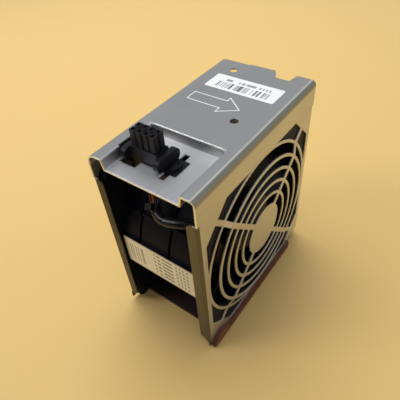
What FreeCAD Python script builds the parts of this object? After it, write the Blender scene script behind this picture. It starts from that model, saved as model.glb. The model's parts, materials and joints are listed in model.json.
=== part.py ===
"""Hot-plug server fan module: a dual-rotor axial fan in a folded sheet-metal carrier.

Frame: millimetres, +X along the airflow (intake to exhaust), +Z up, blind-mate connector on top.
The origin is the bottom centre of the module's bounding box, on the underside of the grip plate.
"""
import FreeCAD, Part
import math
import os

Vector = FreeCAD.Vector
X_AXIS, Y_AXIS, Z_AXIS = Vector(1, 0, 0), Vector(0, 1, 0), Vector(0, 0, 1)

# Carrier
DEPTH = 70.0                     # outside width over the two grille panels, along the airflow
LENGTH = 124.0                   # along the top plate
HEIGHT = 132.5                   # panels' lower edge to the top plate's upper face
SHEET = 1.0
BEND_R = 3.0                     # outside bend radius at the exhaust side's top edge
WIDE_BEND_R = 6.0                # and at the intake side's, beside the recess
GRIP_T = 3.0                     # grip plate under the panels
PANEL_Z = GRIP_T
TOP_Z = PANEL_Z + HEIGHT
HALF_X, HALF_Y = DEPTH / 2, LENGTH / 2

# Fan
FAN_SIZE = 120.0
FAN_Y, FAN_Z = 0.5, 62.0         # rotor axis
FAN_HALF_X = HALF_X - SHEET - 0.1
BORE_R = 57.0
BARREL_R = 59.5
SCREW_PITCH = 105.0
BLADE_R = 56.0
HUB_R = 21.0

# Stamped finger guard
RING_PITCH = 8.05
RING_W = 2.0
GUARD_HUB_R = 17.5
RING_RADII = [25.3 + RING_PITCH * k for k in range(4)]
OUTER_RING_R = 57.5
GUARD_RISE = 2.3
ARM_W = 3.5
ARM_ANGLES = [45, 135, 225, 315]

# Connector and its recess in the top plate
RECESS_X = (-24.0, 26.5)
RECESS_Y = -23.0                 # far end of the recess; it is open at the near edge
RECESS_DEPTH = 6.0
RECESS_SLOPE = 1.4
FLOOR_Z = TOP_Z - RECESS_DEPTH
CUTOUT_X, CUTOUT_Y = -6.8, -41.3
CONN_X, CONN_Y = -8.1, -42.4     # the connector floats a little off the cutout's centre
POLE_PITCH = 4.2


def box(x0, x1, y0, y1, z0, z1):
    """A box between two corners."""
    return Part.makeBox(x1 - x0, y1 - y0, z1 - z0, Vector(x0, y0, z0))


def rod(radius, x0, x1, y=FAN_Y, z=FAN_Z):
    """A cylinder along X."""
    return Part.makeCylinder(radius, x1 - x0, Vector(x0, y, z), X_AXIS)


def tube(outer, inner, x0, x1, y=FAN_Y, z=FAN_Z):
    """A ring or tube along X."""
    return rod(outer, x0, x1, y, z).cut(rod(inner, x0 - 1, x1 + 1, y, z))


def post(radius, x, y, z0, z1):
    """A cylinder along Z."""
    return Part.makeCylinder(radius, z1 - z0, Vector(x, y, z0), Z_AXIS)


def prism(points, travel):
    """A straight prism on a closed polygon of points."""
    wire = Part.makePolygon(points + points[:1])
    return Part.Face(wire).extrude(travel)


def turned(shape, degrees):
    """A copy turned about the rotor axis."""
    copy = shape.copy()
    copy.rotate(Vector(0, FAN_Y, FAN_Z), X_AXIS, degrees)
    return copy


def mirrored(shape):
    """The copy on the other side of the plane X = 0."""
    return shape.mirror(Vector(0, 0, 0), X_AXIS)


def fuse(shapes):
    """One solid from overlapping shapes."""
    return shapes[0].multiFuse(shapes[1:]).removeSplitter()


def group(shapes):
    """Separate solids kept in one node."""
    return Part.makeCompound([solid for shape in shapes for solid in shape.Solids])


def rounded(shape, radius, along, test=lambda p: True):
    """Fillets the straight edges parallel to an axis whose midpoint passes the test."""
    edges = []
    for edge in shape.Edges:
        if edge.Curve.TypeId != "Part::GeomLine":
            continue
        direction = edge.tangentAt(edge.FirstParameter)
        if abs(abs(direction.dot(along)) - 1) < 1e-6 and test(edge.CenterOfMass):
            edges.append(edge)
    return shape.makeFillet(radius, edges)


# ---------------------------------------------------------------- carrier bracket

FLANGE_W = 7.0
FLANGE_Z = (PANEL_Z + 5.0, PANEL_Z + 116.0)
FLANGE_BEND = 1.8
PANEL_CORNER = 9.0


def folded_channel():
    """Top plate and two panels: an inverted U with rounded top bends."""
    outer = box(-HALF_X, HALF_X, -HALF_Y, HALF_Y, PANEL_Z, TOP_Z)
    inner = box(-HALF_X + SHEET, HALF_X - SHEET, -HALF_Y - 1, HALF_Y + 1,
                PANEL_Z - 1, TOP_Z - SHEET)
    for side, radius in ((1, BEND_R), (-1, WIDE_BEND_R)):
        top_edge = lambda p, side=side: p.z > TOP_Z - 2 and p.x * side > 0
        outer = rounded(outer, radius, Y_AXIS, top_edge)
        inner = rounded(inner, radius - SHEET, Y_AXIS, top_edge)
    return outer.cut(inner)


def return_flange(side, edge):
    """A panel's vertical edge turned inward; side is -1 or 1 in X, edge is -1 or 1 in Y."""
    low, high = FLANGE_Z
    tall = high - low
    centre = Vector(side * (HALF_X - FLANGE_BEND), edge * (HALF_Y - FLANGE_BEND), low)
    bend = Part.makeCylinder(FLANGE_BEND, tall, centre, Z_AXIS)
    bend = bend.cut(Part.makeCylinder(FLANGE_BEND - SHEET, tall, centre, Z_AXIS))
    corner = box(centre.x, centre.x + FLANGE_BEND, centre.y, centre.y + FLANGE_BEND, low, high)
    corner.translate(Vector(0 if side > 0 else -FLANGE_BEND, 0 if edge > 0 else -FLANGE_BEND, 0))
    bend = bend.common(corner)
    face_y = edge * HALF_Y
    inner_x = side * (HALF_X - FLANGE_W)
    top_r = 4.0
    points = [Vector(centre.x, face_y, low), Vector(inner_x, face_y, low + 4.0),
              Vector(inner_x, face_y, high), Vector(centre.x, face_y, high)]
    leaf = prism(points, Vector(0, -edge * SHEET, 0))
    leaf = rounded(leaf, top_r, Y_AXIS, lambda p: p.z > high - 1 and abs(p.x - inner_x) < 0.1)
    return bend.fuse(leaf)


def edge_relief(side, edge):
    """The square panel edge that a return flange's bend replaces."""
    low, high = FLANGE_Z
    xs = sorted((side * (HALF_X + 1), side * (HALF_X - SHEET - 0.5)))
    ys = sorted((edge * (HALF_Y + 1), edge * (HALF_Y - FLANGE_BEND)))
    return box(xs[0], xs[1], ys[0], ys[1], low, high)


def bottom_corner(edge, radius):
    """What is cut away to round a panel's lower corner at one Y end, through both panels."""
    y_end = edge * HALF_Y
    ys = sorted((y_end + edge, y_end - edge * radius))
    block = box(-HALF_X - 1, HALF_X + 1, ys[0], ys[1], PANEL_Z - 1, PANEL_Z + radius)
    return block.cut(rod(radius, -HALF_X - 2, HALF_X + 2, y_end - edge * radius,
                         PANEL_Z + radius))


def arm_strips(x0, x1, half_width, reach):
    """Four diagonal arms as one shape, from the axis outward."""
    strip = box(x0, x1, FAN_Y, FAN_Y + reach, FAN_Z - half_width, FAN_Z + half_width)
    return fuse([turned(strip, angle) for angle in ARM_ANGLES])


def guard_opening(x0, x1):
    """The round opening and the eight corner windows that are punched from a panel."""
    square, chamfer = 57.0, 94.7
    cut = chamfer - square
    outline = []
    for sy, sz in ((1, 1), (-1, 1), (-1, -1), (1, -1)):
        pair = [(sy * square, sz * cut), (sy * cut, sz * square)]
        outline += pair if sy * sz > 0 else pair[::-1]
    points = [Vector(x0, FAN_Y + y, FAN_Z + z) for y, z in outline]
    windows = prism(points, Vector(x1 - x0, 0, 0))
    windows = windows.cut(rod(OUTER_RING_R + RING_W / 2, x0 - 1, x1 + 1))
    windows = windows.cut(arm_strips(x0 - 1, x1 + 1, ARM_W / 2, 90))
    return windows.fuse(rod(OUTER_RING_R - RING_W / 2, x0, x1))


def raised_guard():
    """The dished finger guard: hub disc, four rings and four kinked arms."""
    inner_x = HALF_X + GUARD_RISE - SHEET
    outer_x = HALF_X + GUARD_RISE
    rings = [tube(r + RING_W / 2, r - RING_W / 2, inner_x, outer_x) for r in RING_RADII]
    hub = rod(GUARD_HUB_R, inner_x, outer_x)
    edge_r = RING_RADII[-1]
    arm_end = OUTER_RING_R
    profile = [(GUARD_HUB_R - 2, inner_x), (edge_r, inner_x), (arm_end, HALF_X - SHEET),
               (arm_end + 0.3, HALF_X - SHEET), (arm_end + 0.3, HALF_X),
               (arm_end - 0.4, HALF_X), (edge_r + 0.6, outer_x), (GUARD_HUB_R - 2, outer_x)]
    points = [Vector(x, FAN_Y + r, FAN_Z - ARM_W / 2) for r, x in profile]
    arm = prism(points, Vector(0, 0, ARM_W))
    return fuse([hub] + rings + [turned(arm, angle) for angle in ARM_ANGLES])


def rounded_rectangle(x0, x1, y0, y1, z, radius):
    """A closed wire with round corners at height z."""
    sheet = rounded(box(x0, x1, y0, y1, z, z + 1), radius, Z_AXIS)
    return [f for f in sheet.Faces if abs(f.CenterOfMass.z - z) < 1e-6][0].OuterWire


def recess_solid(grow, floor, top):
    """The pocket's tapered volume; grow widens it by the sheet thickness for the outside."""
    x0, x1 = RECESS_X
    near = -HALF_Y - 12
    low = rounded_rectangle(x0 + RECESS_SLOPE - grow, x1 - RECESS_SLOPE + grow, near,
                            RECESS_Y - RECESS_SLOPE + grow, floor, 4.0)
    high = rounded_rectangle(x0 - grow, x1 + grow, near, RECESS_Y + grow, top, 4.0)
    return Part.makeLoft([low, high], True, True)


def connector_cutout(z0, z1):
    """The panel opening that the connector floats in."""
    main = box(CUTOUT_X - 18.9, CUTOUT_X + 18.9, CUTOUT_Y - 6.3, CUTOUT_Y + 6.3, z0, z1)
    right = box(CUTOUT_X + 11.7, CUTOUT_X + 15.2, CUTOUT_Y - 11, CUTOUT_Y + 11, z0, z1)
    left = box(CUTOUT_X - 15.2, CUTOUT_X - 3.7, CUTOUT_Y - 11, CUTOUT_Y + 11, z0, z1)
    return fuse([main, right, left])


def far_edge_trim():
    """What is cut from the top plate's far edge: a shallow step and a rounded notch."""
    z0, z1 = TOP_Z - 2, TOP_Z + 1
    step = box(-HALF_X - 1, -10.5, HALF_Y - 1, HALF_Y + 1, z0, z1)
    notch = [Vector(6.5, HALF_Y + 1, z0), Vector(9.5, HALF_Y - 3.5, z0),
             Vector(11.5, HALF_Y - 8, z0), Vector(21.0, HALF_Y - 8, z0),
             Vector(22.0, HALF_Y - 1, z0), Vector(22.5, HALF_Y + 1, z0)]
    return step.fuse(prism(notch, Vector(0, 0, z1 - z0)))


TONGUE_Y = (-34.0, 34.0)
TONGUE_W = 10.0
TONGUE_DROP = 1.8


def panel_tongues():
    """Short tongues below the panels that seat in the grip plate."""
    tongues = []
    for side in (-1, 1):
        xs = sorted((side * HALF_X, side * (HALF_X - SHEET)))
        for y in TONGUE_Y:
            tongues.append(box(xs[0], xs[1], y - TONGUE_W / 2, y + TONGUE_W / 2,
                               PANEL_Z - TONGUE_DROP, PANEL_Z + 0.5))
    return tongues


PEG_Y, PEG_Z, PEG_R = -51.0, PANEL_Z + 2.2, 1.2


def carrier_bracket():
    """The folded carrier in one piece of sheet."""
    channel = folded_channel()
    for side in (-1, 1):
        for edge in (-1, 1):
            channel = channel.cut(edge_relief(side, edge))
    channel = channel.cut(bottom_corner(1, PANEL_CORNER))
    pocket = recess_solid(0, FLOOR_Z, TOP_Z + 0.001)
    skin = recess_solid(SHEET, FLOOR_Z - SHEET, TOP_Z)
    keep = box(-HALF_X, HALF_X, -HALF_Y, HALF_Y, FLOOR_Z - SHEET, TOP_Z)
    channel = channel.fuse(skin.common(keep)).cut(pocket)
    channel = channel.cut(connector_cutout(FLOOR_Z - 2, FLOOR_Z + 0.5))
    channel = channel.cut(box(RECESS_X[0] - SHEET, RECESS_X[0] + 2, CUTOUT_Y - 6.9,
                              CUTOUT_Y + 6.3, FLOOR_Z - 2, TOP_Z + 1))
    channel = channel.cut(box(CUTOUT_X - 18.9, RECESS_X[0] + 2, CUTOUT_Y - 6.3, CUTOUT_Y + 6.3,
                              FLOOR_Z - 2, TOP_Z - SHEET - 0.2))
    channel = channel.cut(far_edge_trim())
    channel = channel.cut(post(2.75, -16.5, 50.3, TOP_Z - 3, TOP_Z + 1))
    channel = channel.cut(post(2.5, 15.3, 0.8, TOP_Z - 3, TOP_Z + 1))
    channel = channel.cut(guard_opening(HALF_X - SHEET - 1, HALF_X + 1))
    channel = channel.cut(guard_opening(-HALF_X - 1, -HALF_X + SHEET + 1))
    channel = channel.cut(rod(PEG_R + 0.1, HALF_X - SHEET - 1, HALF_X + 1, PEG_Y, PEG_Z))
    guard = raised_guard()
    flanges = [return_flange(side, edge) for side in (-1, 1) for edge in (-1, 1)]
    return fuse([channel, guard, mirrored(guard)] + flanges + panel_tongues())


# ---------------------------------------------------------------- grip plate

GRIP_LIP = 3.0                   # how far the plate stands out past each panel
GRIP_Y = (-49.5, 46.5)
EAR_Y = (-60.0, -41.5)           # the ear is on the exhaust side only
EAR_H = 5.0
SCREW_X = FAN_HALF_X - 5.0
SCREW_YS = (FAN_Y - 40.0, FAN_Y + 40.0)


def grip_ear():
    """A strip under the exhaust panel's lower edge, its lug on the outside and the peg in it."""
    x0, x1 = HALF_X + 0.05, HALF_X + GRIP_LIP
    low = GRIP_T - 1.0
    start = Vector(x0, EAR_Y[0], low)
    top = Vector(x0, (EAR_Y[0] + EAR_Y[1]) / 2, PANEL_Z + EAR_H)
    end = Vector(x0, EAR_Y[1], low)
    arc = Part.Arc(start, top, end).toShape()
    face = Part.Face(Part.Wire([arc, Part.LineSegment(end, start).toShape()]))
    lug = face.extrude(Vector(x1 - x0, 0, 0))
    strip = rounded(box(HALF_X - SHEET, x1, EAR_Y[0], GRIP_Y[0] + 1, 0, GRIP_T), 2.0, Z_AXIS,
                    lambda p: p.x > HALF_X and p.y < GRIP_Y[0])
    peg = rod(PEG_R, HALF_X - SHEET + 0.1, HALF_X + 1, PEG_Y, PEG_Z)
    return [strip, lug, peg]


def grip_plate():
    """The moulded touch plate: a shallow tray under the fan, with lips past both panels."""
    edge_x = HALF_X + GRIP_LIP
    plate = rounded(box(-edge_x, edge_x, GRIP_Y[0], GRIP_Y[1], 0, GRIP_T), 4.0, Z_AXIS,
                    lambda p: p.x < 0 or p.y > 0)
    plate = fuse([plate] + grip_ear())
    tray_z = FAN_Z - FAN_SIZE / 2
    plate = plate.cut(box(-FAN_HALF_X - 0.1, FAN_HALF_X + 0.1, -HALF_Y, HALF_Y, tray_z,
                          GRIP_T + 1))
    for side in (-1, 1):
        x0, x1 = sorted((side * (HALF_X + 0.1), side * (HALF_X - SHEET - 0.3)))
        for y in TONGUE_Y:
            plate = plate.cut(box(x0, x1, y - TONGUE_W / 2 - 0.2, y + TONGUE_W / 2 + 0.2,
                                  PANEL_Z - TONGUE_DROP - 0.1, GRIP_T + 1))
        for y in SCREW_YS:
            plate = plate.cut(post(1.6, side * SCREW_X, y, -1, GRIP_T + 1))
            plate = plate.cut(Part.makeCone(2.9, 1.6, 1.3, Vector(side * SCREW_X, y, 0),
                                            Z_AXIS))
    for k in range(5):
        x = -16.0 + 8.0 * k
        plate = plate.cut(rounded(box(x - 1.2, x + 1.2, -30, 20, -0.1, 0.6), 1.1, Z_AXIS))
    return plate


def grip_plate_screws():
    """Four countersunk thread-forming screws up into the fan housings."""
    screws = []
    for side in (-1, 1):
        for y in SCREW_YS:
            x = side * SCREW_X
            head = Part.makeCone(2.9, 1.6, 1.3, Vector(x, y, 0), Z_AXIS)
            shank = post(1.5, x, y, 1.2, 9.0)
            drive = box(x - 1.6, x + 1.6, y - 0.3, y + 0.3, 0, 0.7)
            cross = box(x - 0.3, x + 0.3, y - 1.6, y + 1.6, 0, 0.7)
            screws.append(head.fuse(shank).cut(drive).cut(cross).removeSplitter())
    return group(screws)


# ---------------------------------------------------------------- fan housings

GROOVES = (-14.5, 7.5)           # the joints between the three housing sections
GROOVE_W, GROOVE_D = 1.8, 1.4
FLANGE_T = 4.6
LABEL_HALF_X, LABEL_HALF_Z = 27.5, 12.5
RIB_ANGLE = 30.5


def fan_flange(x0, x1):
    """A square end flange with round corners and screw holes."""
    half = FAN_SIZE / 2
    plate = box(x0, x1, FAN_Y - half, FAN_Y + half, FAN_Z - half, FAN_Z + half)
    plate = rounded(plate, 6.0, X_AXIS)
    for sy in (-1, 1):
        for sz in (-1, 1):
            plate = plate.cut(rod(2.2, x0 - 1, x1 + 1, FAN_Y + sy * SCREW_PITCH / 2,
                                  FAN_Z + sz * SCREW_PITCH / 2))
    return plate


def barrel_details(x0, x1):
    """The flat label pad and the lead-tray rib that run along the barrel's near side."""
    near = FAN_Y - FAN_SIZE / 2
    pad = box(x0, x1, near, near + 6, FAN_Z - LABEL_HALF_Z, FAN_Z + LABEL_HALF_Z)
    rib = box(x0, x1, FAN_Y - BARREL_R - 1.9, FAN_Y - BARREL_R + 1, FAN_Z - 0.9, FAN_Z + 0.9)
    return [pad, turned(rib, -RIB_ANGLE)]


def end_housing(side, x_face, x_joint):
    """An end section: flange, barrel, bellmouth, label pad and rib; side is -1 or 1."""
    x0, x1 = sorted((x_face, x_joint))
    flange = fan_flange(*sorted((x_face, x_face - side * FLANGE_T)))
    barrel = rod(BARREL_R, x0, x1)
    body = fuse([flange, barrel] + barrel_details(x0, x1))
    neck = x_joint + side * GROOVE_W / 2
    groove = tube(BARREL_R + 4, BARREL_R - GROOVE_D, *sorted((x_joint, neck)))
    body = body.cut(groove)
    body = body.cut(rod(BORE_R, x0 - 1, x1 + 1))
    mouth = Part.makeCone(BORE_R + 1.6, BORE_R, 4.0, Vector(x_face, FAN_Y, FAN_Z),
                          Vector(-side, 0, 0))
    body = body.cut(mouth)
    for y in SCREW_YS:
        body = body.cut(post(1.5, side * SCREW_X, y, 0, 10))
    return body


def screw_block(side):
    """The thick foot in an end section that the grip plate screws bite into."""
    x0, x1 = sorted((side * (SCREW_X - 4), side * FAN_HALF_X))
    blocks = []
    for y in SCREW_YS:
        blocks.append(box(x0, x1, y - 4, y + 4, FAN_Z - FAN_SIZE / 2, FAN_Z - 38))
    return blocks


def intake_housing():
    """Intake section with the end flange at the carrier's intake panel."""
    return end_section(-1, -FAN_HALF_X, GROOVES[0])


def exhaust_housing():
    """Exhaust section with the lead exit cut through the barrel behind the rib."""
    body = end_section(1, FAN_HALF_X, GROOVES[1])
    start, out = lead_exit(BORE_R - 3), lead_exit(BARREL_R + 6)
    return body.cut(Part.makeCylinder(SLEEVE_R + 0.2, 9, start, out - start))


def end_section(side, x_face, x_joint):
    """End section plus its screw blocks, trimmed to the bore."""
    body = end_housing(side, x_face, x_joint)
    blocks = fuse_blocks(side)
    return body.fuse(blocks).removeSplitter()


def fuse_blocks(side):
    """Screw blocks drilled and cleared from the bore."""
    blocks = screw_block(side)
    shape = blocks[0].fuse(blocks[1]).cut(rod(BARREL_R - 0.5, -40, 40))
    for y in SCREW_YS:
        shape = shape.cut(post(1.5, side * SCREW_X, y, 0, 10))
    return shape


DRUM_X = (-8.0, 1.0)
DRUM_MID = (DRUM_X[0] + DRUM_X[1]) / 2
WEB_T = 2.0
VANES = 9
TUBE_R, TUBE_BORE = 5.2, 4.0
TUBE_REACH = 22.0                # bearing tube's mouth from the drum's middle
TUBE_FLOOR = 2.0


def stator_vane():
    """One guide vane between the drum and the barrel, leaning across the flow."""
    vane = box(DRUM_X[0], DRUM_X[1], FAN_Y + HUB_R - 1.5, FAN_Y + BARREL_R - 1,
               FAN_Z - 0.8, FAN_Z + 0.8)
    vane.rotate(Vector(DRUM_MID, FAN_Y, FAN_Z), Y_AXIS, 12)
    return vane.common(tube(BARREL_R - 1, HUB_R - 1.5, DRUM_X[0], DRUM_X[1]))


def stator_housing():
    """Middle section: barrel, guide vanes and the drum that carries both motors."""
    x0, x1 = GROOVES
    body = fuse([rod(BARREL_R, x0, x1)] + barrel_details(x0, x1))
    for joint, side in ((x0, 1), (x1, -1)):
        edge = joint + side * GROOVE_W / 2
        body = body.cut(tube(BARREL_R + 4, BARREL_R - GROOVE_D, *sorted((joint, edge))))
    body = body.cut(rod(BORE_R, x0 - 1, x1 + 1))
    drum = tube(HUB_R, HUB_R - 1.6, *DRUM_X).fuse(rod(HUB_R - 1, DRUM_MID - WEB_T / 2, DRUM_MID + WEB_T / 2))
    tubes = rod(TUBE_R, DRUM_MID - TUBE_REACH, DRUM_MID + TUBE_REACH)
    vanes = [turned(stator_vane(), 360.0 / VANES * k + 10) for k in range(VANES)]
    body = fuse([body, drum, tubes] + vanes)
    for side in (-1, 1):
        ends = sorted((DRUM_MID + side * TUBE_FLOOR, DRUM_MID + side * (TUBE_REACH + 1)))
        body = body.cut(rod(TUBE_BORE, *ends))
    return body


# ---------------------------------------------------------------- rotors

MOTORS = {
    "front": {"side": -1, "open_x": -9.0, "face_x": -30.5, "blades": 7, "sense": 1},
    "rear": {"side": 1, "open_x": 2.0, "face_x": 28.0, "blades": 5, "sense": -1},
}
HUB_WALL = 1.4
YOKE_T = 0.8
SHAFT_R = 1.5


def blade_section(radius, chord, stagger, camber, thick):
    """A cambered section on the plane at one radius: two arcs closed by short ends."""
    def place(along, up):
        angle = math.radians(stagger)
        axial = along * math.sin(angle) + up * math.cos(angle)
        across = along * math.cos(angle) - up * math.sin(angle)
        return Vector(axial, FAN_Y + radius, FAN_Z + across)
    half = chord / 2
    edge = 0.35
    lead_low, lead_high = place(-half, -edge), place(-half, edge)
    tail_low, tail_high = place(half, -edge), place(half, edge)
    upper = Part.Arc(lead_high, place(0, camber + thick / 2), tail_high).toShape()
    lower = Part.Arc(tail_low, place(0, camber - thick / 2), lead_low).toShape()
    return Part.Wire([upper, Part.LineSegment(tail_high, tail_low).toShape(), lower,
                      Part.LineSegment(lead_low, lead_high).toShape()])


def blade(axial_span, count, sense):
    """One twisted blade from the hub to the tip circle, centred on X = 0."""
    sections = []
    for radius, stagger in ((HUB_R - 2, 50), (BLADE_R + 4, 26)):
        chord = min(axial_span / math.sin(math.radians(stagger)),
                    2 * math.pi * radius / count * 1.02)
        sections.append(blade_section(radius, chord, sense * stagger, sense * 2.2, 2.0))
    shape = Part.makeLoft(sections, True, True)
    return shape.common(tube(BLADE_R, HUB_R - 0.8, -axial_span / 2 - 2, axial_span / 2 + 2))


def impeller(motor):
    """Hub cup and blades in one moulding."""
    x0, x1 = sorted((motor["open_x"], motor["face_x"]))
    side, face = motor["side"], motor["face_x"]
    hub = rounded_hub(x0, x1, side)
    hollow = sorted((motor["open_x"] - side, face - side * HUB_WALL))
    hub = hub.cut(rod(HUB_R - HUB_WALL, *hollow))
    span = abs(face - motor["open_x"]) - 1.6
    one = blade(span, motor["blades"], motor["sense"])
    one.translate(Vector((x0 + x1) / 2, 0, 0))
    step = 360.0 / motor["blades"]
    blades = [turned(one, step * k + 20) for k in range(motor["blades"])]
    return fuse([hub] + blades)


def rounded_hub(x0, x1, side):
    """The hub's outer form with a rounded closed end."""
    hub = rod(HUB_R, x0, x1)
    closed = x1 if side > 0 else x0
    edges = [e for e in hub.Edges if e.Closed and abs(e.CenterOfMass.x - closed) < 0.01]
    return hub.makeFillet(2.0, edges)


def rotor_yoke(motor):
    """Steel cup pressed into the hub, with the boss that holds the shaft."""
    side, face = motor["side"], motor["face_x"]
    outer = face - side * HUB_WALL
    inner = outer - side * YOKE_T
    rim = motor["open_x"] + side * 0.5
    shell = tube(HUB_R - HUB_WALL, HUB_R - HUB_WALL - YOKE_T, *sorted((rim, inner)))
    disc = rod(HUB_R - HUB_WALL, *sorted((outer, inner)))
    boss = rod(3.6, *sorted((inner, inner - side * 1.6)))
    return fuse([shell, disc, boss]).cut(rod(SHAFT_R, -40, 40))


def magnet_ring(motor):
    """Ring magnet bonded inside the yoke."""
    rim = motor["open_x"] + motor["side"] * 1.5
    outer = HUB_R - HUB_WALL - YOKE_T
    return tube(outer, outer - 2.6, *sorted((rim, rim + motor["side"] * 13.0)))


def from_middle(motor, *distances):
    """Places along the axis at distances from the drum's middle, in rising order."""
    return sorted(DRUM_MID + motor["side"] * distance for distance in distances)


def shaft(motor):
    """Ground shaft from the yoke's face to the clip groove."""
    outer = abs(motor["face_x"] - DRUM_MID) - HUB_WALL
    body = rod(SHAFT_R, *from_middle(motor, 2.2, outer))
    return body.cut(tube(SHAFT_R + 1, SHAFT_R - 0.35, *from_middle(motor, 2.45, 3.05)))


def shaft_clip(motor):
    """Split clip in the shaft groove."""
    x0, x1 = from_middle(motor, 2.5, 3.0)
    clip = tube(2.6, SHAFT_R - 0.33, x0, x1)
    return clip.cut(box(x0 - 1, x1 + 1, FAN_Y - 0.8, FAN_Y + 0.8, FAN_Z, FAN_Z + 5))


BEARING_W = 3.0
INNER_RING_R = 2.3


def bearing_spans(motor):
    """The two bearings' extents along the axis: by the drum and at the tube's mouth."""
    return [from_middle(motor, 3.1, 3.1 + BEARING_W),
            from_middle(motor, TUBE_REACH - BEARING_W, TUBE_REACH)]


def bearing_outer_rings(motor):
    """The fixed halves of the two ball bearings, closed by their shields."""
    return group([tube(TUBE_BORE, INNER_RING_R + 0.06, x0, x1)
                  for x0, x1 in bearing_spans(motor)])


def bearing_inner_rings(motor):
    """The turning halves: inner rings that sit on the shaft."""
    return group([tube(INNER_RING_R, SHAFT_R, x0, x1) for x0, x1 in bearing_spans(motor)])


def preload_spring(motor):
    """Conical spring washer between the tube's floor and the inner bearing."""
    start = Vector(DRUM_MID + motor["side"] * 3.1, FAN_Y, FAN_Z)
    away = Vector(-motor["side"], 0, 0)
    outer = Part.makeCone(3.9, 3.5, 1.05, start, away)
    inner = Part.makeCone(3.4, 3.0, 1.05, start, away)
    return outer.cut(inner)


TEETH = 6
CORE_T = 9.0


def core_start(motor):
    """The end of the lamination stack nearest the drum."""
    return motor["open_x"] + motor["side"] * 3.5


def stator_core(motor):
    """Lamination stack: a ring on the bearing tube, with T-shaped teeth."""
    x0, x1 = sorted((core_start(motor), core_start(motor) + motor["side"] * CORE_T))
    ring = tube(7.4, TUBE_R, x0, x1)
    stem = box(x0, x1, FAN_Y + 6.5, FAN_Y + 15.0, FAN_Z - 1.6, FAN_Z + 1.6)
    shoe = tube(15.8, 14.2, x0, x1).common(
        box(x0, x1, FAN_Y, FAN_Y + 20, FAN_Z - 6.2, FAN_Z + 6.2))
    tooth = stem.fuse(shoe)
    step = 360.0 / TEETH
    return fuse([ring] + [turned(tooth, step * k) for k in range(TEETH)])


def windings(motor):
    """One coil round each tooth."""
    x0, x1 = sorted((core_start(motor), core_start(motor) + motor["side"] * CORE_T))
    coil = box(x0 - 2.0, x1 + 2.0, FAN_Y + 8.0, FAN_Y + 13.4, FAN_Z - 3.6, FAN_Z + 3.6)
    coil = coil.cut(box(x0, x1, FAN_Y + 7, FAN_Y + 15, FAN_Z - 1.6, FAN_Z + 1.6))
    step = 360.0 / TEETH
    return group([turned(coil, step * k) for k in range(TEETH)])


def circuit_board(motor):
    """Ring board in the drum with its driver chips."""
    board = tube(HUB_R - 2.4, TUBE_R + 0.2, *from_middle(motor, WEB_T / 2, WEB_T / 2 + 1.2))
    chips = []
    for angle, size in ((30, 5.0), (110, 3.2), (215, 4.0)):
        xs = from_middle(motor, WEB_T / 2 + 1.0, WEB_T / 2 + 2.2)
        chip = box(xs[0], xs[1], FAN_Y + 12 - size / 2, FAN_Y + 12 + size / 2,
                   FAN_Z - size / 2, FAN_Z + size / 2)
        chips.append(turned(chip, angle))
    return fuse([board] + chips)


# ---------------------------------------------------------------- connector

TOWER_W, TOWER_TOP = 3.6, FLOOR_Z + 17.6
TOWER_BORE = 2.4                 # square, in each tower
BODY_HALF_X, BODY_HALF_Y = 9.0, 4.7
BODY_LOW = FLOOR_Z - 11.0
BODY_TOP = FLOOR_Z + 8.4
END_WALL_X = (9.4, 12.7)         # from the connector's middle
END_WALL_HALF = 8.8
END_WALL_TOP = FLOOR_Z + 7.4
EAR_END = 18.0                   # from the cutout's middle
CRIMP_Z = FLOOR_Z - 6.0          # where the leads meet the contacts


def pole_positions():
    """Centres of the eight poles, four along X in two rows."""
    return [(CONN_X + (i - 1.5) * POLE_PITCH, CONN_Y + (j - 0.5) * POLE_PITCH)
            for i in range(4) for j in range(2)]


def square_post(width, x, y, z0, z1):
    """A square bar along Z."""
    half = width / 2
    return box(x - half, x + half, y - half, y + half, z0, z1)


def connector_housing():
    """Blind-mate plug: eight towers in a shroud, end walls over the sheet and ears under it."""
    body = box(CONN_X - BODY_HALF_X, CONN_X + BODY_HALF_X, CONN_Y - BODY_HALF_Y,
               CONN_Y + BODY_HALF_Y, BODY_LOW, BODY_TOP)
    well = box(CONN_X - BODY_HALF_X + 0.4, CONN_X + BODY_HALF_X - 0.4,
               CONN_Y - BODY_HALF_Y + 0.8, CONN_Y + BODY_HALF_Y - 0.8, FLOOR_Z + 1, TOWER_TOP)
    pieces = [body.cut(well)]
    pieces += [rounded(square_post(TOWER_W, x, y, FLOOR_Z - 1, TOWER_TOP), 0.5, Z_AXIS)
               for x, y in pole_positions()]
    for side in (-1, 1):
        pieces.append(connector_end_wall(side))
        pieces.append(connector_ear(side))
    shape = fuse(pieces)
    for x, y in pole_positions():
        shape = shape.cut(square_post(TOWER_BORE, x, y, BODY_LOW - 1, TOWER_TOP + 1))
        shape = shape.cut(square_post(3.1, x, y, BODY_LOW - 1, FLOOR_Z - 4))
    return shape


def connector_end_wall(side):
    """A thick guide wall over the recess floor, wider than the body and joined to its foot."""
    near, far = (CONN_X + side * x for x in END_WALL_X)
    x0, x1 = sorted((near, far))
    wall = box(x0, x1, CONN_Y - END_WALL_HALF, CONN_Y + END_WALL_HALF, FLOOR_Z + 0.3,
               END_WALL_TOP)
    wall = rounded(wall, 3.2, X_AXIS)
    foot = sorted((CONN_X + side * (BODY_HALF_X - 0.2), near + side * 0.2))
    return wall.fuse(box(*foot, CONN_Y - BODY_HALF_Y, CONN_Y + BODY_HALF_Y, FLOOR_Z + 0.3,
                         FLOOR_Z + 5.0))


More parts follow.
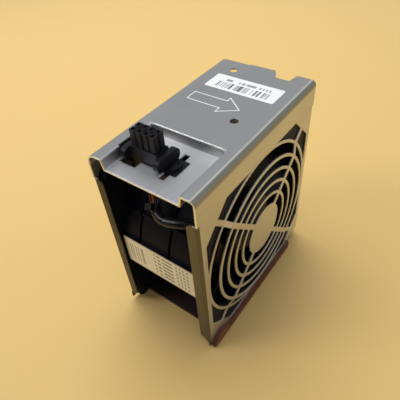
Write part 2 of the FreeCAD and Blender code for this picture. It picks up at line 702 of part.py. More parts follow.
def connector_ear(side):
    """A mounting ear in the cutout with a lens-shaped boss; its foot hooks under the sheet."""
    inner, outer = CONN_X + side * (BODY_HALF_X - 0.2), CUTOUT_X + side * EAR_END
    x0, x1 = sorted((inner, outer))
    ear = box(x0, x1, CUTOUT_Y - 5.4, CUTOUT_Y + 5.4, FLOOR_Z - 4.0, FLOOR_Z - 0.5)
    foot = box(x0, x1, CUTOUT_Y - 7.6, CUTOUT_Y + 7.6, FLOOR_Z - 4.0, FLOOR_Z - SHEET - 0.3)
    centre = Vector((inner + outer) / 2 + side * 2.2, CUTOUT_Y, FLOOR_Z - 1)
    left = Part.makeCylinder(6.2, 2.4, centre + Vector(-4.2, 0, 0), Z_AXIS)
    right = Part.makeCylinder(6.2, 2.4, centre + Vector(4.2, 0, 0), Z_AXIS)
    lens = left.common(right)
    hole = Part.makeCylinder(0.7, 4, centre + Vector(0, 1.6, -0.5), Z_AXIS)
    return fuse([ear, foot, lens]).cut(hole)


def connector_terminals():
    """Eight crimped box contacts, one in each tower."""
    contacts = []
    for x, y in pole_positions():
        sleeve = square_post(TOWER_BORE - 0.1, x, y, FLOOR_Z - 4.5, TOWER_TOP - 1.0)
        bore = square_post(TOWER_BORE - 0.7, x, y, FLOOR_Z + 4, TOWER_TOP)
        collar = square_post(3.0, x, y, CRIMP_Z, FLOOR_Z - 4.05)
        contacts.append(sleeve.fuse(collar).cut(bore).removeSplitter())
    return group(contacts)


# ---------------------------------------------------------------- leads

SLEEVE_R = 2.8
LEAD_R = 0.6
LEAD_PITCH = 1.35                # between leads at the sleeve's mouth
EXIT_X, EXIT_ANGLE = 24.5, 40.0
MOUTH = Vector(-1.5, -51.5, 108.0)
MOUTH_AIM = Vector(-5.3, 10.6, 10.9).normalize()


def lead_exit(radius):
    """A point on the lead exit's radial line, at one distance from the rotor axis."""
    angle = math.radians(EXIT_ANGLE)
    return Vector(EXIT_X, FAN_Y - radius * math.cos(angle), FAN_Z + radius * math.sin(angle))


def bend_solid(first, centre, turn_axis, degrees, along, radius):
    """One arc of a cord: its round section swept about the bend's centre."""
    section = Part.Face(Part.Wire(Part.makeCircle(radius, first, along)))
    return section.revolve(centre, turn_axis, degrees)


def cord(name, points, radius):
    """A round cord: straight runs joined by tangent arcs, each as large as its runs allow."""
    pieces, radii, start, length = [], [], points[0], 0.0
    for before, corner, after in zip(points, points[1:], points[2:]):
        back, ahead = before - corner, after - corner
        setback = 0.45 * min(back.Length, ahead.Length)
        back.normalize()
        ahead.normalize()
        turn = math.pi - back.getAngle(ahead)
        bend = setback / math.tan(turn / 2)
        radii.append(round(bend, 1))
        first, last = corner + back * setback, corner + ahead * setback
        bisector = (back + ahead).normalize()
        centre = corner + bisector * math.hypot(bend, setback)
        pieces.append(Part.makeCylinder(radius, (first - start).Length, start, first - start))
        pieces.append(bend_solid(first, centre, back.cross(ahead) * -1, math.degrees(turn),
                                 back, radius))
        length += (first - start).Length + bend * turn
        start = last
    end = points[-1]
    pieces.append(Part.makeCylinder(radius, (end - start).Length, start, end - start))
    length += (end - start).Length
    solid = fuse(pieces)
    print(name, "radii", radii, "volume ratio",
          round(solid.Volume / (math.pi * radius ** 2 * length), 4))
    return solid


def lead_sleeve():
    """The sleeve over all the leads, from the barrel's exit to below the connector."""
    points = [lead_exit(BORE_R + 0.3), lead_exit(BORE_R + 13.0), MOUTH - MOUTH_AIM * 9.5,
              MOUTH]
    return cord("sleeve", points, SLEEVE_R)


def fan_leads(row):
    """Four leads of one motor, fanned out from the sleeve's mouth to one row of poles."""
    across = Vector(1, 0, 0) - MOUTH_AIM * MOUTH_AIM.x
    across.normalize()
    down = across.cross(MOUTH_AIM)
    leads = []
    for column in range(4):
        x = CONN_X + (column - 1.5) * POLE_PITCH
        y = CONN_Y + (row - 0.5) * POLE_PITCH
        start = MOUTH + across * ((column - 1.5) * LEAD_PITCH) + down * ((0.5 - row) * LEAD_PITCH)
        points = [start, Vector(x, y, CRIMP_Z - 6.0), Vector(x, y, CRIMP_Z)]
        leads.append(cord("lead", points, LEAD_R))
    return group(leads)


def cable_tie():
    """Tie round the sleeve near its mouth, with the head on the outer side."""
    place = MOUTH - MOUTH_AIM * 3.4
    band = Part.makeCylinder(SLEEVE_R + 0.75, 2.4, place, MOUTH_AIM)
    head = box(-2.2, 2.2, -SLEEVE_R - 3.0, -SLEEVE_R - 0.2, -0.6, 3.0)
    head.Placement = FreeCAD.Placement(place, FreeCAD.Rotation(Z_AXIS, MOUTH_AIM))
    hole = Part.makeCylinder(SLEEVE_R + 0.02, 8, place - MOUTH_AIM * 2, MOUTH_AIM)
    return fuse([band, head]).cut(hole)


NODES = {
    "carrier_bracket": carrier_bracket,
    "grip_plate": grip_plate,
    "grip_plate_screws": grip_plate_screws,
    "intake_housing": intake_housing,
    "stator_housing": stator_housing,
    "exhaust_housing": exhaust_housing,
    "connector_housing": connector_housing,
    "connector_terminals": connector_terminals,
    "lead_sleeve": lead_sleeve,
    "front_fan_leads": lambda: fan_leads(0),
    "rear_fan_leads": lambda: fan_leads(1),
    "cable_tie": cable_tie,
}
MOTOR_NODES = {
    "impeller": impeller,
    "rotor_yoke": rotor_yoke,
    "magnet_ring": magnet_ring,
    "shaft": shaft,
    "shaft_clip": shaft_clip,
    "bearing_outer_rings": bearing_outer_rings,
    "bearing_inner_rings": bearing_inner_rings,
    "preload_spring": preload_spring,
    "stator_core": stator_core,
    "windings": windings,
    "circuit_board": circuit_board,
}


def main():
    """Builds and writes every node."""
    os.makedirs("parts", exist_ok=True)
    for name, make in NODES.items():
        export(name, make())
    for end, motor in MOTORS.items():
        for name, make in MOTOR_NODES.items():
            export(end + "_" + name, make(motor))


def export(name, shape):
    """Writes one node, with its solid count and volume for the log."""
    if not shape.isValid():
        print("NOT VALID", name)
    shape.exportStep("parts/" + name + ".step")
    print(name, len(shape.Solids), "solid(s)", round(shape.Volume, 1), "mm3")


main()
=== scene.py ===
import json
import math

import bmesh
import bpy
from mathutils import Matrix, Vector


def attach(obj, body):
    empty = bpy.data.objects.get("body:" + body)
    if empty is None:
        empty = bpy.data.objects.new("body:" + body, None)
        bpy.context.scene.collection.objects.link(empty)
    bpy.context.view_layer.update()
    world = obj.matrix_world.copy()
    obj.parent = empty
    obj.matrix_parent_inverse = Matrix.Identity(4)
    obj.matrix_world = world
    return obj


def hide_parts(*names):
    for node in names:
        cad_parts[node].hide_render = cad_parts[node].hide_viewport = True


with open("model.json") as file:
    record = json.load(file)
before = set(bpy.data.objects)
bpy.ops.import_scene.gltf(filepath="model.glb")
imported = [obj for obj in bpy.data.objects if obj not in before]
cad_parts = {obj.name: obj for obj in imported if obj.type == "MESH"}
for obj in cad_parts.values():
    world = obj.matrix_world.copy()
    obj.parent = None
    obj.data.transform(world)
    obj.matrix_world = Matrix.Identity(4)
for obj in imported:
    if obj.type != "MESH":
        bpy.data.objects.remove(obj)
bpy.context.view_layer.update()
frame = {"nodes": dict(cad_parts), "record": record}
mm = 0.001
topPlate = 135.5 * mm                 # height of the top plate's outer face


# camera, first of all, because the cords are judged from it

cameraSet = {
    "place": (0.11704, -0.15592, 0.25809),
    "right": (0.80663, 0.586911, -0.069877),
    "down": (0.369385, -0.592867, -0.715586),
    "lens": 36.35,
    "sensor": 36.0,
    "clip": (0.01, 20.0),
}


def placeCamera(kit):
    data = bpy.data.cameras.new("viewCamera")
    data.lens, data.sensor_width = kit["lens"], kit["sensor"]
    data.clip_start, data.clip_end = kit["clip"]
    camera = bpy.data.objects.new("viewCamera", data)
    bpy.context.scene.collection.objects.link(camera)
    right = Vector(kit["right"]).normalized()
    up = -Vector(kit["down"]).normalized()
    back = right.cross(up).normalized()
    up = back.cross(right)
    turn = Matrix((right, up, back)).transposed().to_4x4()
    camera.matrix_world = Matrix.Translation(Vector(kit["place"])) @ turn
    bpy.context.scene.camera = camera


placeCamera(cameraSet)
print("camera placed")


# shader maths written as expressions

class Wire:
    def __init__(self, paint, socket):
        self.paint, self.socket = paint, socket

    def calc(self, operation, other, turned=False):
        pair = (other, self) if turned else (self, other)
        return self.paint.node("ShaderNodeMath", {"operation": operation},
                               {0: pair[0], 1: pair[1]})

    def __add__(self, other): return self.calc("ADD", other)
    def __radd__(self, other): return self.calc("ADD", other, True)
    def __sub__(self, other): return self.calc("SUBTRACT", other)
    def __rsub__(self, other): return self.calc("SUBTRACT", other, True)
    def __mul__(self, other): return self.calc("MULTIPLY", other)
    def __rmul__(self, other): return self.calc("MULTIPLY", other, True)
    def __truediv__(self, other): return self.calc("DIVIDE", other)
    def __rtruediv__(self, other): return self.calc("DIVIDE", other, True)
    def __gt__(self, other): return self.calc("GREATER_THAN", other)
    def __lt__(self, other): return self.calc("LESS_THAN", other)
    def __abs__(self): return self.calc("ABSOLUTE", 0.0)


def within(value, low, high):
    return (value > low) * (value < high)


def patchy(parts, pattern):
    # an even part, and a part that follows the pattern
    return parts[0] + parts[1] * pattern


bevelSamples = 6


class Paint:
    def __init__(self, name):
        self.material = bpy.data.materials.new(name)
        self.material.use_nodes = True
        self.tree = self.material.node_tree
        self.tree.nodes.clear()
        self.spot = self.node("ShaderNodeTexCoord", {}, {}, "Object")

    def node(self, kind, settings, inputs, output=0):
        made = self.tree.nodes.new(kind)
        for key, value in settings.items():
            setattr(made, key, value)
        for key, value in inputs.items():
            socket = made.inputs[key]
            if isinstance(value, Wire):
                self.tree.links.new(value.socket, socket)
            elif socket.type == "RGBA":
                socket.default_value = (*value, 1.0)
            else:
                socket.default_value = value
        return Wire(self, made.outputs[output]) if made.outputs else None

    def noise(self, scale, detail, stretch=(1, 1, 1)):
        spot = self.node("ShaderNodeMapping", {},
                         {"Vector": self.spot, "Scale": stretch})
        return self.node("ShaderNodeTexNoise", {},
                         {"Vector": spot, "Scale": scale, "Detail": detail})

    def mix(self, share, first, second):
        return self.node("ShaderNodeMix", {"data_type": "RGBA"},
                         {0: share, 6: first, 7: second}, 2)

    def axes(self):
        return [self.node("ShaderNodeSeparateXYZ", {}, {0: self.spot}, i)
                for i in range(3)]

    def fade(self, value, low, high):
        return self.node("ShaderNodeMapRange", {"interpolation_type": "SMOOTHSTEP"},
                         {"Value": value, "From Min": low, "From Max": high})

    def bump(self, height, strength, distance, edge=0.0):
        inputs = {"Height": height, "Strength": strength, "Distance": distance}
        if isinstance(edge, Wire) or edge > 0:
            inputs["Normal"] = self.node("ShaderNodeBevel", {"samples": bevelSamples},
                                         {"Radius": edge})
        return self.node("ShaderNodeBump", {}, inputs)

    def finish(self, **sockets):
        named = {key.replace("_", " "): value for key, value in sockets.items()}
        shader = self.node("ShaderNodeBsdfPrincipled", {}, named)
        self.node("ShaderNodeOutputMaterial", {}, {"Surface": shader})
        return self.material


# materials: a noise is given as its scale and its detail, a bump as its strength
# and its depth, and a patchy value as its even part and its patchy part

steelSet = {
    "dark": (0.573, 0.570, 0.557),
    "light": (0.708, 0.703, 0.688),
    "cloud": (22, 4.0),               # its slow change of tone
    "grain": (900, 2.0, (1, 0.03, 1)),  # fine rolling marks along the sheet
    "streak": (0.40, 0.40, 0.40),
    "streakShare": 0.25,
    "smudge": (60, 5.0),
    "rough": 0.33,
    "smudgeRough": 0.12,
    "grainRough": 0.06,
    "bump": (0.10, 0.2 * mm),
    "edge": 0.7 * mm,                 # rounding of the sheet's edges
    "pressedEdge": 0.6 * mm,          # more at the rim of the pressed recess
    "pressedFrom": 127.5 * mm,
}
flangeSet = {
    "shade": (0.132, 0.123, 0.098),   # painted shade on the return flanges
    "intake": (0.044, 0.041, 0.028),  # darkest painted shade on the intake side
    # how patchy the painted flange shade is
    "shadeSpread": (0.93, 0.07),
    "side": 60.2 * mm,
    "top": 119 * mm,
    "cut": (0.98, 0.97, 0.93),        # a painted highlight along the sheet's edge above them
    "cutSide": 61.95 * mm,
}
bendSet = {
    "shade": (0.366, 0.354, 0.30),    # painted shade along the bend
    "from": 32.8 * mm,
    "fade": (130.8 * mm, 132.8 * mm),
    "share": 0.9,
    "rough": 0.16,
    "highlight": (0.99, 0.975, 0.89),       # and a painted highlight along the line above
    "highlightShare": (0.6, 0.4),
    "highlightFrom": 31.5 * mm,
    "highlightAbove": 134 * mm,
}
recessSet = {
    "shade": (0.88, 0.88, 0.90),      # painted light on the pressed floor of the recess
    "floor": (128.3 * mm, 130.1 * mm),
    "right": 27 * mm,
    "rough": 0.14,
    "rim": (0.98, 0.98, 0.97),        # a painted highlight along its rim
    "rimShare": 0.9,
    "rimAbove": 134.6 * mm,
    "farX": (-23.0 * mm, 26.2 * mm),
    "farY": (-23.8 * mm, -22.4 * mm),
    "leftX": (-24.6 * mm, -23.0 * mm),
}


def platedSheet(kit, flangeKit, bendKit, recessKit):
    p = Paint("platedSheet")
    cloud, grain, smudge = (p.noise(*kit[key]) for key in ("cloud", "grain", "smudge"))
    x, y, z = p.axes()
    side = abs(y)
    flange = (side > flangeKit["side"]) * (z < flangeKit["top"])
    cut = (side > flangeKit["cutSide"]) * (z > flangeKit["top"])
    bent = (x > bendKit["from"]) * p.fade(z, *bendKit["fade"])
    # the band above the bend that gets a painted highlight
    highlit = within(x, bendKit["highlightFrom"], bendKit["from"])
    highlit = highlit * (z > bendKit["highlightAbove"])
    nearY, farY = recessKit["farY"]
    pressed = within(z, *recessKit["floor"]) * (x < recessKit["right"]) * (y < nearY)
    # the rim band that gets a painted highlight
    rim = within(x, *recessKit["farX"]) * within(y, nearY, farY)
    rim = rim + within(x, *recessKit["leftX"]) * (y < farY)
    rim = rim * (z > recessKit["rimAbove"])
    shade = p.mix(cloud, kit["dark"], kit["light"])
    # painted light on the recess floor
    shade = p.mix(pressed, shade, recessKit["shade"])
    shade = p.mix(kit["streakShare"] * grain, shade, kit["streak"])
    # painted shade along the bend
    shade = p.mix(bent * bendKit["share"], shade, bendKit["shade"])
    # painted highlight along the line above the bend
    shade = p.mix(highlit * patchy(bendKit["highlightShare"], smudge), shade, bendKit["highlight"])
    # painted highlight along the recess rim
    shade = p.mix(rim * recessKit["rimShare"], shade, recessKit["rim"])
    # painted shade on the return flanges, darkest on the intake side
    flangeShade = p.mix(x < 0, flangeKit["shade"], flangeKit["intake"])
    shade = p.mix(flange * patchy(flangeKit["shadeSpread"], smudge), shade, flangeShade)
    # painted highlight along the sheet's edge above the flanges
    shade = p.mix(cut, shade, flangeKit["cut"])
    rough = kit["rough"] + kit["smudgeRough"] * smudge + kit["grainRough"] * grain
    rough = rough + bendKit["rough"] * bent + recessKit["rough"] * pressed
    edge = kit["edge"] + kit["pressedEdge"] * (z > kit["pressedFrom"])
    return p.finish(Base_Color=shade, Metallic=1.0, Roughness=rough,
                    Normal=p.bump(grain, *kit["bump"], edge))


maroonSet = {
    "dark": (0.140, 0.044, 0.021),
    "light": (0.200, 0.073, 0.037),
    "cloud": (60, 4.0),
    "texture": (2600, 2.0),
    "rough": (0.40, 0.15),
    "bump": (0.15, 0.2 * mm),
    "edge": 0.5 * mm,
    "tray": (0.016, 0.009, 0.011),    # painted shade where the plate lies under the fan
    "trayShare": (0.85, 0.15),
    "trayHalf": 33.2 * mm,
    "trayAbove": 1.2 * mm,
}


def maroonPlastic(kit):
    p = Paint("maroonPlastic")
    cloud, fine = p.noise(*kit["cloud"]), p.noise(*kit["texture"])
    x, y, z = p.axes()
    # painted shade on the plate where it lies under the fan
    tray = (abs(x) < kit["trayHalf"]) * (z > kit["trayAbove"])
    shade = p.mix(cloud, kit["dark"], kit["light"])
    shade = p.mix(tray * patchy(kit["trayShare"], cloud), shade, kit["tray"])
    return p.finish(Base_Color=shade, Roughness=patchy(kit["rough"], fine),
                    Normal=p.bump(fine, *kit["bump"], kit["edge"]))


plasticSet = {
    "black_plastic": {"name": "fanBlack", "roughness": 0.50, "texture": 2200,
                      "dark": (0.0042, 0.0048, 0.0095), "light": (0.0078, 0.0088, 0.017),
                      "shine": 0.12},
    "impeller_plastic": {"name": "impellerBlack", "roughness": 0.40, "texture": 1800,
                         "dark": (0.009, 0.009, 0.011), "light": (0.016, 0.016, 0.018)},
    "black_nylon": {"name": "connectorNylon", "roughness": 0.48, "texture": 3200,
                    "dark": (0.007, 0.007, 0.0095), "light": (0.013, 0.013, 0.017),
                    "edge": 0.22 * mm},
    "tie_nylon": {"name": "tieNylon", "roughness": 0.4, "texture": 3000,
                  "dark": (0.006, 0.006, 0.007), "light": (0.011, 0.011, 0.012)},
    "magnet": {"name": "bondedMagnet", "roughness": 0.5, "texture": 2600,
               "dark": (0.06, 0.06, 0.065), "light": (0.10, 0.10, 0.105)},
    "board_laminate": {"name": "boardGreen", "roughness": 0.35, "texture": 2400,
                       "dark": (0.01, 0.10, 0.04), "light": (0.02, 0.16, 0.07)},
}


mouldSet = {
    "cloud": (45, 3.0),
    "fineDetail": 2.0,
    "roughSpread": 0.10,
    "bump": (0.18, 0.2 * mm),
    "edge": 0.4 * mm,
    "shine": 0.28,
}


def mouldedPlastic(name, dark, light, roughness, texture, edge=mouldSet["edge"],
                   shine=mouldSet["shine"]):
    p = Paint(name)
    cloud = p.noise(*mouldSet["cloud"])
    fine = p.noise(texture, mouldSet["fineDetail"])
    return p.finish(Base_Color=p.mix(cloud, dark, light),
                    Roughness=roughness + mouldSet["roughSpread"] * (fine - 0.5),
                    Normal=p.bump(fine, *mouldSet["bump"], edge),
                    Specular_IOR_Level=shine)


metalSet = {
    "screw_steel": {"name": "screwPlate", "roughness": 0.35,
                    "dark": (0.22, 0.22, 0.23), "light": (0.34, 0.34, 0.35)},
    "contact_brass": {"name": "tinnedContact", "roughness": 0.3,
                      "dark": (0.55, 0.52, 0.42), "light": (0.72, 0.70, 0.62)},
    "yoke_steel": {"name": "rolledSteel", "roughness": 0.42,
                   "dark": (0.26, 0.26, 0.27), "light": (0.38, 0.38, 0.39)},
    "ground_steel": {"name": "groundSteel", "roughness": 0.18, "stretch": (0.1, 1, 1),
                     "dark": (0.62, 0.62, 0.64), "light": (0.78, 0.78, 0.80)},
    "enamelled_copper": {"name": "enamelCopper", "roughness": 0.3, "stretch": (1, 0.1, 1),
                         "dark": (0.55, 0.22, 0.08), "light": (0.75, 0.36, 0.15)},
}


grainSet = {
    "fine": (1400, 3.0),
    "roughSpread": 0.15,
    "bump": (0.08, 0.1 * mm),
}


def plainMetal(name, dark, light, roughness, stretch=(1, 1, 1)):
    p = Paint(name)
    fine = p.noise(*grainSet["fine"], stretch)
    return p.finish(Base_Color=p.mix(fine, dark, light), Metallic=1.0,
                    Roughness=roughness + grainSet["roughSpread"] * (fine - 0.5),
                    Normal=p.bump(fine, *grainSet["bump"]))


def paintNodes():
    finishes = {"plated_steel": platedSheet(steelSet, flangeSet, bendSet, recessSet),
                "maroon_plastic": maroonPlastic(maroonSet)}
    finishes.update({slot: mouldedPlastic(**kit) for slot, kit in plasticSet.items()})
    finishes.update({slot: plainMetal(**kit) for slot, kit in metalSet.items()})
    slotOf = {s["node"]: s["material_slot"] for s in frame["record"]["subparts"]}
    for nodeName, thing in frame["nodes"].items():
        if slotOf[nodeName] in finishes:
            thing.data.materials.clear()
            thing.data.materials.append(finishes[slotOf[nodeName]])


paintNodes()
print("materials made")


# cords: the sleeve from the fan's barrel and the eight leads to the connector

curveSet = {"order": 3, "steps": 16, "round": 5}

sleeveSet = {
    "points": [(0.0245, -0.0434, 0.09883), (0.0245, -0.05312, 0.107),
               (0.00163, -0.05775, 0.10157), (-0.0015, -0.0515, 0.108)],
    "radius": 2.8 * mm,
    "length": 38.5 * mm,
    "dark": (0.004, 0.004, 0.006),
    "light": (0.014, 0.014, 0.017),
    "wrinkle": (420, 3.0),
    "rough": (0.20, 0.20),
    "bump": (0.8, 0.8 * mm),
    "coat": 0.12,
    "coatRough": 0.15,
    "shine": 0.35,
}
leadSet = {
    "colours": [("leadBrown", (0.050, 0.022, 0.010)), ("leadRed", (0.50, 0.060, 0.014)),
                ("leadBlack", (0.008, 0.008, 0.009)), ("leadBlue", (0.010, 0.025, 0.12))],
    "dull": 0.75,                     # share of each colour in its darker patches
    "fine": (900, 2.0),
    "rough": (0.32, 0.1),
    "bump": (0.08, 0.1 * mm),
    "rows": [("near", "front_fan_leads"), ("far", "rear_fan_leads")],
    "mouth": (-0.0015, -0.0515, 0.108),
    "aim": (-5.3, 10.6, 10.9),
    "middle": (-8.1 * mm, -42.4 * mm),
    "pitch": 4.2 * mm,
    "spread": 1.35 * mm,
    "heights": (117.0 * mm, 118.6 * mm, 123.5 * mm),  # upright inside the connector
    "radius": 0.6 * mm,
}


def looseCord(name, points, radius, material, body="carrier"):
    curve = bpy.data.curves.new(name, "CURVE")
    curve.dimensions = "3D"
    line = curve.splines.new("NURBS")
    line.points.add(len(points) - 1)
    for spot, place in zip(line.points, points):
        spot.co = (*place, 1.0)
    line.order_u, line.resolution_u = curveSet["order"], curveSet["steps"]
    line.use_endpoint_u = True
    curve.bevel_depth, curve.bevel_resolution = radius, curveSet["round"]
    curve.use_fill_caps = True
    curve.materials.append(material)
    cordPiece = bpy.data.objects.new(name, curve)
    bpy.context.scene.collection.objects.link(cordPiece)
    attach(cordPiece, body)
    return cordPiece


def sleeveFilm(kit):
    p = Paint("sleeveFilm")
    wrinkle = p.noise(*kit["wrinkle"])
    return p.finish(Base_Color=p.mix(wrinkle, kit["dark"], kit["light"]),
                    Roughness=patchy(kit["rough"], wrinkle),
                    Normal=p.bump(wrinkle, *kit["bump"]), Coat_Weight=kit["coat"],
                    Coat_Roughness=kit["coatRough"], Specular_IOR_Level=kit["shine"])


def wireCoat(name, colour, kit):
    p = Paint(name)
    fine = p.noise(*kit["fine"])
    dull = tuple(part * kit["dull"] for part in colour)
    return p.finish(Base_Color=p.mix(fine, dull, colour),
                    Roughness=patchy(kit["rough"], fine),
                    Normal=p.bump(fine, *kit["bump"]))


def addLeads(kit):
    aim = Vector(kit["aim"]).normalized()
    across = (Vector((1, 0, 0)) - aim * aim.x).normalized()
    under = across.cross(aim)
    mouth = Vector(kit["mouth"])
    coats = [wireCoat(name, colour, kit) for name, colour in kit["colours"]]
    midColumn, midRow = (len(coats) - 1) / 2, (len(kit["rows"]) - 1) / 2
    made = []
    for row, (side, node) in enumerate(kit["rows"]):
        for column, coat in enumerate(coats):
            start = mouth + across * ((column - midColumn) * kit["spread"])
            start += under * ((midRow - row) * kit["spread"])
            x = kit["middle"][0] + (column - midColumn) * kit["pitch"]
            y = kit["middle"][1] + (row - midRow) * kit["pitch"]
            points = [start] + [Vector((x, y, height)) for height in kit["heights"]]
            lead = looseCord(f"{side}Lead_{column + 1}", points, kit["radius"], coat)
            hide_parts(node)
            made.append(lead)
    return made


sleeve = looseCord("leadSleeve", sleeveSet["points"], sleeveSet["radius"],
                   sleeveFilm(sleeveSet))
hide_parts("lead_sleeve")
leads = addLeads(leadSet)
print("cords laid")


# printed and stuck pieces

stickerSet = {
    "cornerSteps": 4,
    "rimShare": 0.3,                  # share of its thickness that is off its rim
    "rimAngle": 0.5,                  # an edge sharper than this is its rim
}
topLabelSet = {
    "middle": (1.25 * mm, 33.75 * mm),
    "size": (47.5 * mm, 16.5 * mm),
    "thick": 0.12 * mm,
    "corner": 1.0 * mm,
    "paper": ((0.82, 0.82, 0.815), (0.90, 0.90, 0.895)),
    "ink": (0.06, 0.06, 0.07),
    "inkShare": 0.85,
    "lineShare": 0.8,
    "fibre": (1500, 3.0),
    "rough": 0.42,
    "bump": (0.05, 0.1 * mm),
    "bars": {"box": (-17.5 * mm, 18.5 * mm, -5.8 * mm, 0.6 * mm), "pitch": 0.45 * mm,
             "seed": 11.0},
    "line": {"box": (-15.0 * mm, 20.0 * mm, 2.2 * mm, 4.6 * mm), "pitch": 1.1 * mm,
             "seed": 5.0},
}
sideLabelSet = {
    "size": (55 * mm, 24 * mm),
    "thick": 0.12 * mm,
    "corner": 0.8 * mm,
    "face": -59.5 * mm,
    "height": 62 * mm,
    # a pale foil, its warm tint a painted reflection of the floor
    "foil": ((0.90, 0.865, 0.76), (0.97, 0.94, 0.84)),
    "ink": (0.07, 0.06, 0.045),
    "rowShare": 0.75,
    "blockShare": 0.55,
    "borderShare": 0.4,
    "fibre": (1300, 3.0),
    "rough": 0.38,
    "metal": 0.15,
    "bump": (0.04, 0.1 * mm),
    "rows": {"box": (-8.0 * mm, 25.5 * mm, -10.0 * mm, 10.0 * mm), "pitch": 1.3 * mm,
             "seed": 3.0},
    "rowPitch": 3.4 * mm,
    "rowStart": 0.2,
    "rowGap": 0.55,
    "block": {"box": (-23.5 * mm, -12.5 * mm, -7.5 * mm, 7.5 * mm), "pitch": 0.9 * mm,
              "seed": 8.0},
    "border": 10.9 * mm,
}
arrowSet = {
    "tail": -22.5 * mm,
    "tailSides": (7.5 * mm, 16.5 * mm),
    "headStart": 0.5 * mm,
    "headSides": (3.0 * mm, 20.5 * mm),
    "tip": (12.5 * mm, 11.0 * mm),
    "line": 0.55 * mm,
    "thick": 0.06 * mm,
    "sunk": 0.2,                      # share of its thickness that is in the plate
    "ink": ((0.86, 0.86, 0.84), (0.95, 0.95, 0.93)),
    "fibre": (1200, 3.0),
    "rough": 0.45,
}
sunkLabel = 0.45                      # share of its thickness from its face to its middle
barGap = 0.48                         # share of the bars that are left without ink


def flatPiece(name, bm, material):
    mesh = bpy.data.meshes.new(name)
    bm.to_mesh(mesh)
    bm.free()
    mesh.materials.append(material)
    piece = bpy.data.objects.new(name, mesh)
    bpy.context.scene.collection.objects.link(piece)
    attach(piece, "carrier")
    return piece


def stickerMesh(size, thick, corner):
    bm = bmesh.new()
    bmesh.ops.create_cube(bm, size=1.0)
    bmesh.ops.scale(bm, verts=bm.verts, vec=(*size, thick))
    upright = [e for e in bm.edges
               if abs(e.verts[0].co.z - e.verts[1].co.z) > thick * 0.5]
    bmesh.ops.bevel(bm, geom=upright, offset=corner, segments=stickerSet["cornerSteps"],
                    profile=0.5, affect="EDGES", material=-1)
    rim = [e for e in bm.edges if all(v.co.z > 0 for v in e.verts)
           and len(e.link_faces) == 2 and e.calc_face_angle(0) > stickerSet["rimAngle"]]
    bmesh.ops.bevel(bm, geom=rim, offset=thick * stickerSet["rimShare"], segments=1,
                    profile=0.5, affect="EDGES", material=-1)
    return bm


def barred(p, x, y, kit):
    # bars of uneven width inside a box, 1 where there is ink
    left, right, low, high = kit["box"]
    column = p.node("ShaderNodeMath", {"operation": "FLOOR"}, {0: x / kit["pitch"]})
    chance = p.node("ShaderNodeTexWhiteNoise", {"noise_dimensions": "1D"},
                    {"W": column + kit["seed"]})
    return (chance > barGap) * within(x, left, right) * within(y, low, high)


def topLabelInk(kit):
    p = Paint("topLabelPaper")
    x, y, z = p.axes()
    x, y = x - kit["middle"][0], y - kit["middle"][1]
    ink = barred(p, x, y, kit["bars"]) + barred(p, x, y, kit["line"]) * kit["lineShare"]
    fibre = p.noise(*kit["fibre"])
    paper = p.mix(fibre, *kit["paper"])
    return p.finish(Base_Color=p.mix(ink * kit["inkShare"], paper, kit["ink"]),
                    Roughness=kit["rough"], Normal=p.bump(fibre, *kit["bump"]))


def sideLabelInk(kit):
    p = Paint("sideLabelFoil")
    x, y, z = p.axes()
    z = z - kit["height"]
    step = p.node("ShaderNodeMath", {"operation": "FRACT"},
                  {0: z / kit["rowPitch"] + kit["rowStart"]})
    rows = barred(p, x, z, kit["rows"]) * (step > kit["rowGap"])
    edge = (z > kit["border"]) + (z < -kit["border"])
    ink = rows * kit["rowShare"] + barred(p, x, z, kit["block"]) * kit["blockShare"]
    ink = ink + edge * kit["borderShare"]
    fibre = p.noise(*kit["fibre"])
    return p.finish(Base_Color=p.mix(ink, p.mix(fibre, *kit["foil"]), kit["ink"]),
                    Roughness=kit["rough"], Metallic=kit["metal"],
                    Normal=p.bump(fibre, *kit["bump"]))


def arrowInk(kit):
    p = Paint("arrowInk")
    return p.finish(Base_Color=p.mix(p.noise(*kit["fibre"]), *kit["ink"]),
                    Roughness=kit["rough"])


def addTopLabel(kit):
    bm = stickerMesh(kit["size"], kit["thick"], kit["corner"])
    bmesh.ops.translate(bm, verts=bm.verts,
                        vec=(*kit["middle"], topPlate + kit["thick"] * sunkLabel))
    flatPiece("topLabel", bm, topLabelInk(kit))


def addSideLabel(kit):
    bm = stickerMesh(kit["size"], kit["thick"], kit["corner"])
    bmesh.ops.rotate(bm, verts=bm.verts, cent=(0, 0, 0),
                     matrix=Matrix.Rotation(math.radians(90), 3, "X"))
    bmesh.ops.translate(bm, verts=bm.verts,
                        vec=(0, kit["face"] - kit["thick"] * sunkLabel, kit["height"]))
    flatPiece("sideLabel", bm, sideLabelInk(kit))


def addArrow(kit):
    tail, head = kit["tail"], kit["headStart"]
    low, high = kit["tailSides"]
    under, over = kit["headSides"]
    outline = [(tail, low), (head, low), (head, under), kit["tip"], (head, over),
               (head, high), (tail, high)]
    bm = bmesh.new()
    foot = topPlate - kit["thick"] * kit["sunk"]
    face = bm.faces.new([bm.verts.new((x, y, foot)) for x, y in outline])
    bm.normal_update()
    bmesh.ops.inset_region(bm, faces=[face], thickness=kit["line"], use_boundary=True,
                           use_even_offset=True)
    bmesh.ops.delete(bm, geom=[face], context="FACES_ONLY")
    top = bmesh.ops.extrude_face_region(bm, geom=bm.faces[:], use_keep_orig=True)["geom"]
    bmesh.ops.translate(bm, verts=[v for v in top if isinstance(v, bmesh.types.BMVert)],
                        vec=(0, 0, kit["thick"]))
    bmesh.ops.recalc_face_normals(bm, faces=bm.faces)
    flatPiece("airflowArrow", bm, arrowInk(kit))


addTopLabel(topLabelSet)
addSideLabel(sideLabelSet)
addArrow(arrowSet)
print("labels and arrow added")


# floor and light

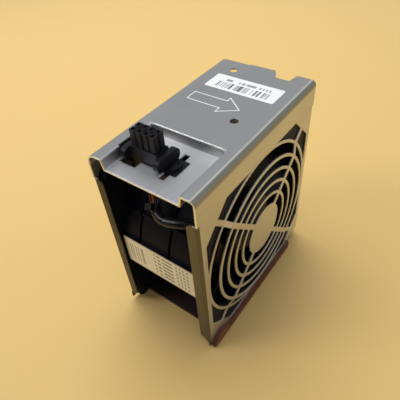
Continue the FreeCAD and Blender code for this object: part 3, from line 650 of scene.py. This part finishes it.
floorSet = {
    "colour": (0.83, 0.567, 0.205),
    "roughness": 0.55,
    "size": (6, 6),
    "middle": (0, 0, 0),
    "tilt": 0,
}
cardSet = {                           # a dark card behind the camera shades the near side
    "colour": (0.01, 0.01, 0.01),
    "roughness": 0.9,
    "size": (1.3, 0.52),
    "middle": (-0.05, -0.50, 0.26),
    "tilt": 90,
}
skySet = {"colour": (0.93, 0.96, 1.0), "strength": 0.49}
lampSet = [
    {"name": "keyLamp", "place": (-0.42, 0.34, 1.12), "size": 1.00, "power": 9.4,
     "glossy": False},
    {"name": "edgeLamp", "place": (-0.60, -0.62, 0.85), "size": 0.42, "power": 3.7,
     "glossy": True},
]
lampAim = (0, 0, 0.06)


def addSheet(name, kit):
    bm = bmesh.new()
    bmesh.ops.create_grid(bm, x_segments=1, y_segments=1, size=0.5)
    bmesh.ops.scale(bm, verts=bm.verts, vec=(*kit["size"], 1))
    bmesh.ops.rotate(bm, verts=bm.verts, cent=(0, 0, 0),
                     matrix=Matrix.Rotation(math.radians(kit["tilt"]), 3, "X"))
    bmesh.ops.translate(bm, verts=bm.verts, vec=kit["middle"])
    mesh = bpy.data.meshes.new(name)
    bm.to_mesh(mesh)
    bm.free()
    p = Paint(name + "Paint")
    mesh.materials.append(p.finish(Base_Color=kit["colour"], Roughness=kit["roughness"]))
    sheet = bpy.data.objects.new(name, mesh)
    bpy.context.scene.collection.objects.link(sheet)
    return sheet


def addSky(kit):
    world = bpy.data.worlds.new("softSky")
    bpy.context.scene.world = world
    world.use_nodes = True
    back = world.node_tree.nodes["Background"]
    back.inputs["Color"].default_value = (*kit["colour"], 1.0)
    back.inputs["Strength"].default_value = kit["strength"]


def addLamp(kit):
    data = bpy.data.lights.new(kit["name"], "AREA")
    data.shape = "SQUARE"
    data.size, data.energy = kit["size"], kit["power"]
    lamp = bpy.data.objects.new(kit["name"], data)
    bpy.context.scene.collection.objects.link(lamp)
    lamp.location = kit["place"]
    aim = Vector(lampAim) - Vector(kit["place"])
    lamp.rotation_euler = aim.to_track_quat("-Z", "Y").to_euler()
    lamp.visible_glossy = kit["glossy"]


addSheet("floor", floorSet)
addSheet("darkCard", cardSet).visible_camera = False
addSky(skySet)
for lampKit in lampSet:
    addLamp(lampKit)
bpy.context.scene.view_settings.view_transform = "Standard"
print("stage lit")
